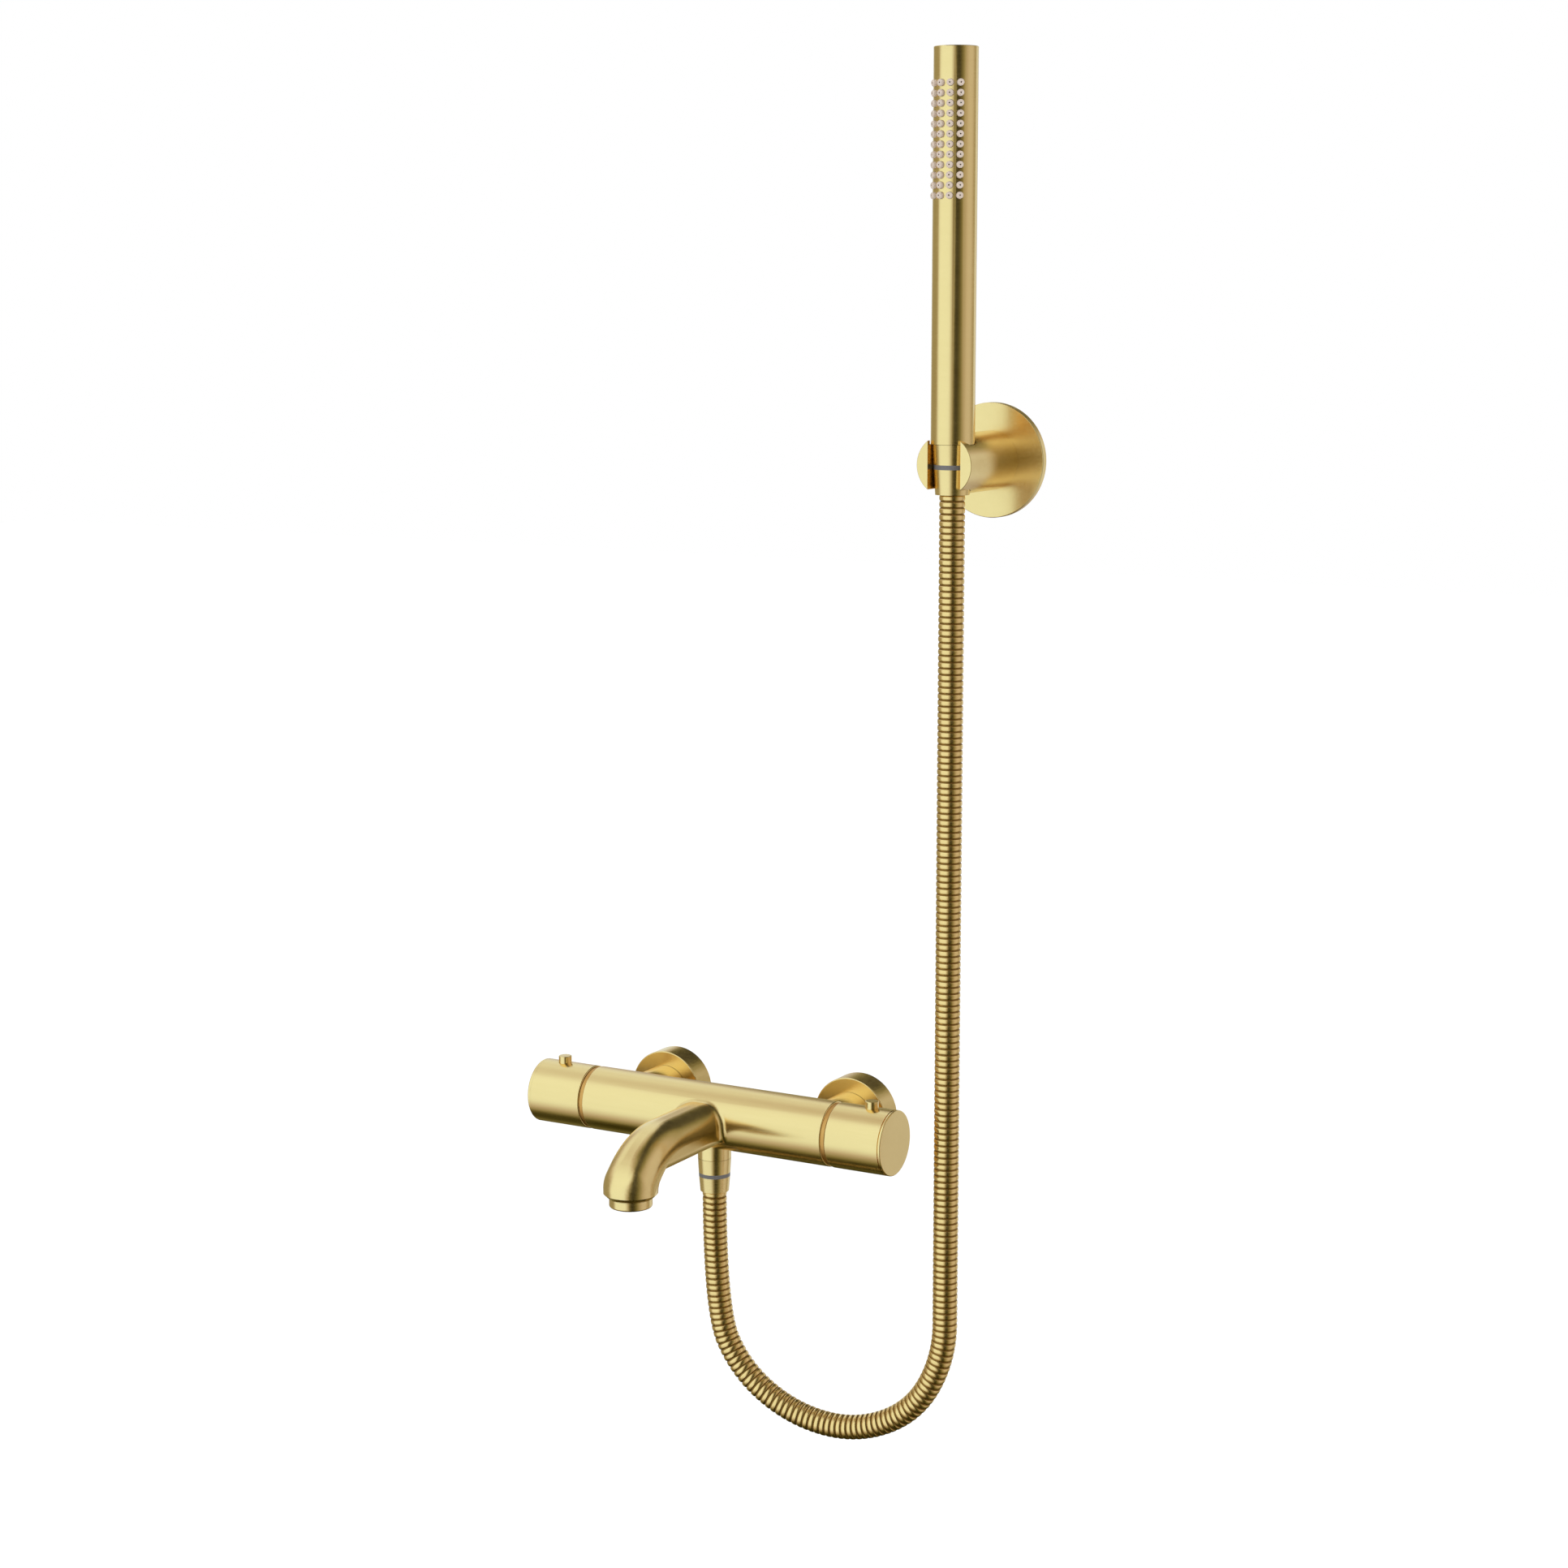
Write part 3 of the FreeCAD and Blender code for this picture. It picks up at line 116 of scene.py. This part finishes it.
# ---------------------------------------------------------------- node helpers
class Nodes:
    """Short ways to add shader nodes to one tree."""

    def __init__(self, tree):
        self.tree = tree
        tree.nodes.clear()

    def add(self, kind, **settings):
        node = self.tree.nodes.new("ShaderNode" + kind)
        for name, setting in settings.items():
            setattr(node, name, setting)
        return node

    def link(self, source, target):
        self.tree.links.new(source, target)

    def feed(self, target, source):
        """Put a number, a vector or another node's output into an input."""
        if hasattr(source, "is_linked"):
            self.link(source, target)
        else:
            target.default_value = source

    def math(self, operation, *sources, clamp=False):
        node = self.add("Math", operation=operation, use_clamp=clamp)
        for target, source in zip(node.inputs, sources):
            self.feed(target, source)
        return node.outputs[0]

    def rise(self, source, low, high, bottom=0.0, top=1.0):
        """A smooth step of a number from bottom to top between two values."""
        node = self.add("MapRange", interpolation_type="SMOOTHSTEP")
        for name, number in (("From Min", low), ("From Max", high), ("To Min", bottom),
                             ("To Max", top)):
            node.inputs[name].default_value = number
        self.feed(node.inputs["Value"], source)
        return node.outputs["Result"]

    def dot(self, source, direction):
        node = self.add("VectorMath", operation="DOT_PRODUCT")
        self.link(source, node.inputs[0])
        node.inputs[1].default_value = direction
        return node.outputs["Value"]

    def noise(self, coordinates, scale, detail=3.0, stretch=(1, 1, 1)):
        mapping = self.add("Mapping")
        self.link(coordinates, mapping.inputs["Vector"])
        mapping.inputs["Scale"].default_value = stretch
        node = self.add("TexNoise")
        self.link(mapping.outputs["Vector"], node.inputs["Vector"])
        node.inputs["Scale"].default_value = scale
        node.inputs["Detail"].default_value = detail
        return node.outputs["Fac"]

    def blend_colors(self, share, first, second):
        node = self.add("MixRGB")
        self.feed(node.inputs["Fac"], share)
        self.feed(node.inputs["Color1"], first)
        self.feed(node.inputs["Color2"], second)
        return node.outputs["Color"]


def new_material(name):
    material = bpy.data.materials.new(name)
    material.use_nodes = True
    nodes = Nodes(material.node_tree)
    shader = nodes.add("BsdfPrincipled")
    output = nodes.add("OutputMaterial")
    nodes.link(shader.outputs["BSDF"], output.inputs["Surface"])
    return material, nodes, shader


# ---------------------------------------------------------------- metals
BROAD_SCALE = 28.0
BLOTCH_SCALE = 190.0
FINE_SHARE = 0.55
BROAD_SPREAD = 0.02


def brushed_metal(name, light, dark, stretch, roughness=0.225, grain=1400.0, depth=0.0000015,
                  spread=0.05):
    """Satin metal with fine brushing: stretch is large across the brushing, small along it."""
    material, nodes, shader = new_material(name)
    here = nodes.add("TexCoord").outputs["Object"]
    fine = nodes.noise(here, grain, 1.0, stretch)
    broad = nodes.noise(here, BROAD_SCALE, 3.0)
    blotch = nodes.noise(here, BLOTCH_SCALE, 2.0, stretch)
    shade = nodes.math("ADD", nodes.math("MULTIPLY", fine, FINE_SHARE),
                       nodes.math("MULTIPLY", blotch, 1 - FINE_SHARE))
    nodes.link(nodes.blend_colors(nodes.rise(shade, 0.2, 0.8), dark, light),
               shader.inputs["Base Color"])
    rough = nodes.math("ADD", nodes.rise(fine, 0.25, 0.75, roughness - spread / 2,
                                         roughness + spread / 2),
                       nodes.rise(broad, 0.3, 0.7, -BROAD_SPREAD, BROAD_SPREAD))
    nodes.link(rough, shader.inputs["Roughness"])
    shader.inputs["Metallic"].default_value = 1.0
    bump = nodes.add("Bump")
    bump.inputs["Strength"].default_value = 0.35
    bump.inputs["Distance"].default_value = depth
    nodes.link(fine, bump.inputs["Height"])
    nodes.link(bump.outputs["Normal"], shader.inputs["Normal"])
    return material


def plain_material(name, light, dark, roughness, metallic=0.0, scale=300.0, depth=0.00002,
                   specular=0.5):
    """A moulded, ground or machined surface with slight mottling and fine texture."""
    material, nodes, shader = new_material(name)
    here = nodes.add("TexCoord").outputs["Object"]
    mottle = nodes.noise(here, scale, 4.0)
    nodes.link(nodes.blend_colors(nodes.rise(mottle, 0.3, 0.7), dark, light),
               shader.inputs["Base Color"])
    nodes.link(nodes.rise(mottle, 0.3, 0.7, roughness - 0.04, roughness + 0.04),
               shader.inputs["Roughness"])
    shader.inputs["Metallic"].default_value = metallic
    shader.inputs["Specular IOR Level"].default_value = specular
    bump = nodes.add("Bump")
    bump.inputs["Strength"].default_value = 0.3
    bump.inputs["Distance"].default_value = depth
    nodes.link(mottle, bump.inputs["Height"])
    nodes.link(bump.outputs["Normal"], shader.inputs["Normal"])
    return material


def nozzle_material():
    """Pale translucent silicone."""
    material = plain_material("nozzle_silicone", (0.66, 0.56, 0.48, 1), (0.61, 0.51, 0.43, 1),
                              0.42, scale=900.0)
    shader = material.node_tree.nodes["Principled BSDF"]
    shader.inputs["Subsurface Weight"].default_value = 0.25
    shader.inputs["Subsurface Radius"].default_value = (0.002, 0.0015, 0.0015)
    return material


def paint(names, material):
    for name in names:
        slots = cad_nodes[name].data.materials
        slots.clear()
        slots.append(material)


GOLD_LIGHT = (0.98, 0.735, 0.335, 1)
GOLD_DARK = (0.95, 0.705, 0.312, 1)
HOSE_LIGHT = (0.98, 0.70, 0.30, 1)
HOSE_DARK = (0.95, 0.67, 0.275, 1)
ACROSS_Z = (0.06, 0.06, 1.0)
ALL_WAYS = (1.0, 1.0, 1.0)


def paint_everything():
    along_bar = brushed_metal("brushed_gold_bar", GOLD_LIGHT, GOLD_DARK, (0.07, 1.0, 1.0),
                              grain=900.0)
    upright = brushed_metal("brushed_gold_upright", GOLD_LIGHT, GOLD_DARK, ACROSS_Z)
    wall_parts = brushed_metal("brushed_gold_wall", GOLD_LIGHT, GOLD_DARK, (1.0, 0.25, 1.0),
                               grain=700.0)
    turned = brushed_metal("turned_gold", GOLD_LIGHT, GOLD_DARK, (0.03, 0.03, 1.0), 0.25,
                           900.0, 0.000005)
    paint(["mixer_body", "temperature_knob", "flow_knob", "temperature_knob_cap",
           "flow_knob_cap"], along_bar)
    paint(["hand_shower_tube", "aerator_housing", "temperature_stop_button",
           "flow_stop_button"], upright)
    paint(["wall_cover_left", "wall_cover_right", "union_nut_left", "union_nut_right",
           "holder_flange", "holder_arm"], wall_parts)
    paint(["hose_nut", "hose_ferrule", "cone_nut", "cone_ferrule"], turned)
    dark_band = plain_material("dark_band", (0.165, 0.155, 0.15, 1), (0.125, 0.118, 0.115, 1),
                               0.38, scale=1200.0)
    paint(["hose_nut_band", "cone_band"], dark_band)
    # The stop rings sit recessed between the body and the knobs: their darker, redder gold is
    # painted shade of that recess.
    stop_ring_recess_shade = brushed_metal("stop_ring_painted_shade_gold", (0.80, 0.45, 0.14, 1), (0.70, 0.36, 0.10, 1),
                           ALL_WAYS, 0.4)
    paint(["temperature_stop_ring", "flow_stop_ring"], stop_ring_recess_shade)
    paint(["nozzle_strip"], nozzle_material())
    brass = brushed_metal("raw_brass", (0.80, 0.58, 0.27, 1), (0.68, 0.46, 0.19, 1), ALL_WAYS,
                          0.36, 600.0, 0.000004)
    rubber = plain_material("black_rubber", (0.03, 0.03, 0.032, 1), (0.015, 0.015, 0.016, 1),
                            0.7, scale=700.0)
    white = plain_material("white_plastic", (0.80, 0.79, 0.76, 1), (0.72, 0.71, 0.68, 1), 0.42)
    grey = plain_material("grey_plastic", (0.32, 0.32, 0.33, 1), (0.25, 0.25, 0.26, 1), 0.45)
    steel = brushed_metal("steel", (0.62, 0.61, 0.60, 1), (0.50, 0.49, 0.48, 1), ALL_WAYS,
                          0.28, 900.0)
    ceramic = plain_material("ceramic", (0.86, 0.85, 0.83, 1), (0.80, 0.79, 0.77, 1), 0.16,
                             scale=80.0)
    finishes = {"raw_brass": brass, "black_rubber": rubber, "white_plastic": white,
                "grey_plastic": grey, "steel": steel, "ceramic": ceramic}
    for item in frame["record"]["subparts"]:
        if item["material_slot"] in finishes:
            paint([item["node"]], finishes[item["material_slot"]])


# ---------------------------------------------------------------- hose
def hose_points():
    """The route's points: the hose leaves the mixer's outlet and leans evenly to the holder."""
    span = HOSE_OUT_RIGHT - HOSE_OUT_LEFT
    return [Vector((x, HOSE_OUT_LEFT + span * x / HOLDER_RIGHT, z)) for x, z in HOSE_ROUTE]


def centreline():
    """Points along the smooth curve that has the route's points as its control points."""
    data = bpy.data.curves.new("hose_route", "CURVE")
    data.dimensions = "3D"
    spline = data.splines.new("NURBS")
    route = hose_points()
    spline.points.add(len(route) - 1)
    for point, place in zip(spline.points, route):
        point.co = (*place, 1)
    spline.order_u = 3
    spline.use_endpoint_u = True
    spline.resolution_u = 64
    curve = bpy.data.objects.new("hose_route", data)
    scene.collection.objects.link(curve)
    bpy.context.view_layer.update()
    mesh = bpy.data.meshes.new_from_object(curve)
    points = [vertex.co.copy() for vertex in mesh.vertices]
    bpy.data.objects.remove(curve)
    bpy.data.meshes.remove(mesh)
    return points


class Line:
    """A polyline that gives the place and direction at any distance along it."""

    def __init__(self, points):
        self.points = points
        self.distances = [0.0]
        for before, after in zip(points, points[1:]):
            self.distances.append(self.distances[-1] + (after - before).length)
        self.length = self.distances[-1]
        self.number = 0

    def at(self, distance):
        distance = min(max(distance, 0.0), self.length)
        while self.number > 0 and self.distances[self.number] > distance:
            self.number -= 1
        last = len(self.points) - 2
        while self.number < last and self.distances[self.number + 1] < distance:
            self.number += 1
        start, end = self.distances[self.number], self.distances[self.number + 1]
        share = (distance - start) / (end - start) if end > start else 0.0
        return self.points[self.number].lerp(self.points[self.number + 1], share)


def hose_mesh():
    """A tube of level rings with thin grooves between them, closed at both ends."""
    line = Line(centreline())
    rings = round(line.length / RING_PITCH)
    pitch = line.length / rings
    rows = [((ring + share) * pitch, inset) for ring in range(rings)
            for share, inset in RING_PROFILE]
    rows.append((line.length, RING_PROFILE[0][1]))
    sideways = Vector((HOLDER_RIGHT, HOSE_OUT_RIGHT - HOSE_OUT_LEFT, 0)).normalized()
    flat_normal = sideways.cross(Vector((0, 0, 1))).normalized()
    vertices = []
    for distance, inset in rows:
        place = line.at(distance)
        ahead = (line.at(distance + LOOK_AHEAD) - line.at(distance - LOOK_AHEAD)).normalized()
        outwards = ahead.cross(flat_normal).normalized()
        for side in range(HOSE_SIDES):
            angle = 2 * math.pi * side / HOSE_SIDES
            spoke = outwards * math.cos(angle) + flat_normal * math.sin(angle)
            vertices.append(place + spoke * (HOSE_RADIUS - inset))
    faces = []
    for row in range(len(rows) - 1):
        low, high = row * HOSE_SIDES, (row + 1) * HOSE_SIDES
        for side in range(HOSE_SIDES):
            after = (side + 1) % HOSE_SIDES
            faces.append((low + side, high + side, high + after, low + after))
    faces.append(tuple(range(HOSE_SIDES)))
    faces.append(tuple(reversed(range(len(vertices) - HOSE_SIDES, len(vertices)))))
    mesh = bpy.data.meshes.new("shower_hose_rings")
    mesh.from_pydata(vertices, [], faces)
    mesh.materials.append(brushed_metal("hose_gold", HOSE_LIGHT, HOSE_DARK, ALL_WAYS, 0.24,
                                        700.0))
    # The grooves between the rings get a darker brown metal: painted shade in the recesses.
    mesh.materials.append(plain_material("hose_groove_painted_shade", (0.42, 0.23, 0.06, 1),
                                         (0.34, 0.18, 0.045, 1), 0.5, metallic=1.0))
    for number, polygon in enumerate(mesh.polygons):
        polygon.use_smooth = True
        if number // HOSE_SIDES % len(RING_PROFILE) in GROOVE_SHADE_ROWS:
            polygon.material_index = 1
    piece = bpy.data.objects.new("shower_hose_rings", mesh)
    scene.collection.objects.link(piece)
    route = [line.at(line.length * number / ROUTE_STEPS) for number in range(ROUTE_STEPS + 1)]
    return piece, route


def add_hose():
    piece, route = hose_mesh()
    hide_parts("shower_hose")
    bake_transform(piece)


# ---------------------------------------------------------------- springs
def add_springs():
    """Copies of the CAD springs' coils, put in the scene in place of the CAD springs."""
    for name, fixed, moving, start, end in SPRINGS:
        spring = cad_nodes[name]
        piece = bpy.data.objects.new(name + "_coil", spring.data.copy())
        piece.matrix_world = spring.matrix_world
        scene.collection.objects.link(piece)
        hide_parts(name)
        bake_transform(piece)


# ---------------------------------------------------------------- studio
def add_studio():
    """A white room: a large soft panel on the left, weaker walls right and behind, a dark top."""
    world = bpy.data.worlds.new("studio")
    scene.world = world
    world.use_nodes = True
    nodes = Nodes(world.node_tree)
    here = nodes.add("TexCoord").outputs["Generated"]
    towards = nodes.dot(here, (math.sin(CAMERA_AZIMUTH), -math.cos(CAMERA_AZIMUTH), 0))
    right = nodes.dot(here, (math.cos(CAMERA_AZIMUTH), math.sin(CAMERA_AZIMUTH), 0))
    around = nodes.math("ARCTAN2", right, towards)
    height = nodes.math("ARCSINE", nodes.dot(here, (0, 0, 1)))
    glow = None
    for around_steps, height_steps in ROOM:
        part = None
        for source, steps in ((around, around_steps), (height, height_steps)):
            for low, high, *strengths in steps:
                step = nodes.rise(source, math.radians(low), math.radians(high), *strengths)
                part = step if part is None else nodes.math("MULTIPLY", part, step)
        glow = part if glow is None else nodes.math("MAXIMUM", glow, part)
    glow = nodes.math("ADD", glow, ROOM_DARK)
    ramp = nodes.add("ValToRGB")
    nodes.link(glow, ramp.inputs["Fac"])
    for number, (place, color) in enumerate(STUDIO_COLORS):
        stops = ramp.color_ramp.elements
        stop = stops[number] if number < 2 else stops.new(place)
        stop.position = place
        stop.color = (*color, 1)
    rays = nodes.add("LightPath").outputs
    plain = nodes.blend_colors(rays["Is Camera Ray"], SOFT_WHITE, GROUND_WHITE)
    shown = nodes.blend_colors(rays["Is Glossy Ray"], plain, ramp.outputs["Color"])
    background = nodes.add("Background")
    nodes.link(shown, background.inputs["Color"])
    output = nodes.add("OutputWorld")
    nodes.link(background.outputs["Background"], output.inputs["Surface"])


def add_floor():
    mesh = bpy.data.meshes.new("floor")
    half = FLOOR_HALF
    mesh.from_pydata([(-half, -half, FLOOR_UP), (half, -half, FLOOR_UP), (half, half, FLOOR_UP),
                      (-half, half, FLOOR_UP)], [], [(0, 1, 2, 3)])
    floor = bpy.data.objects.new("floor", mesh)
    scene.collection.objects.link(floor)
    floor.visible_glossy = False
    mesh.materials.append(plain_material("floor_paint", (0.98, 0.98, 0.98, 1),
                                         (0.97, 0.97, 0.97, 1), 0.9, scale=3.0, specular=0.0))


add_camera()
add_hose()
add_studio()
add_floor()
paint_everything()
add_springs()
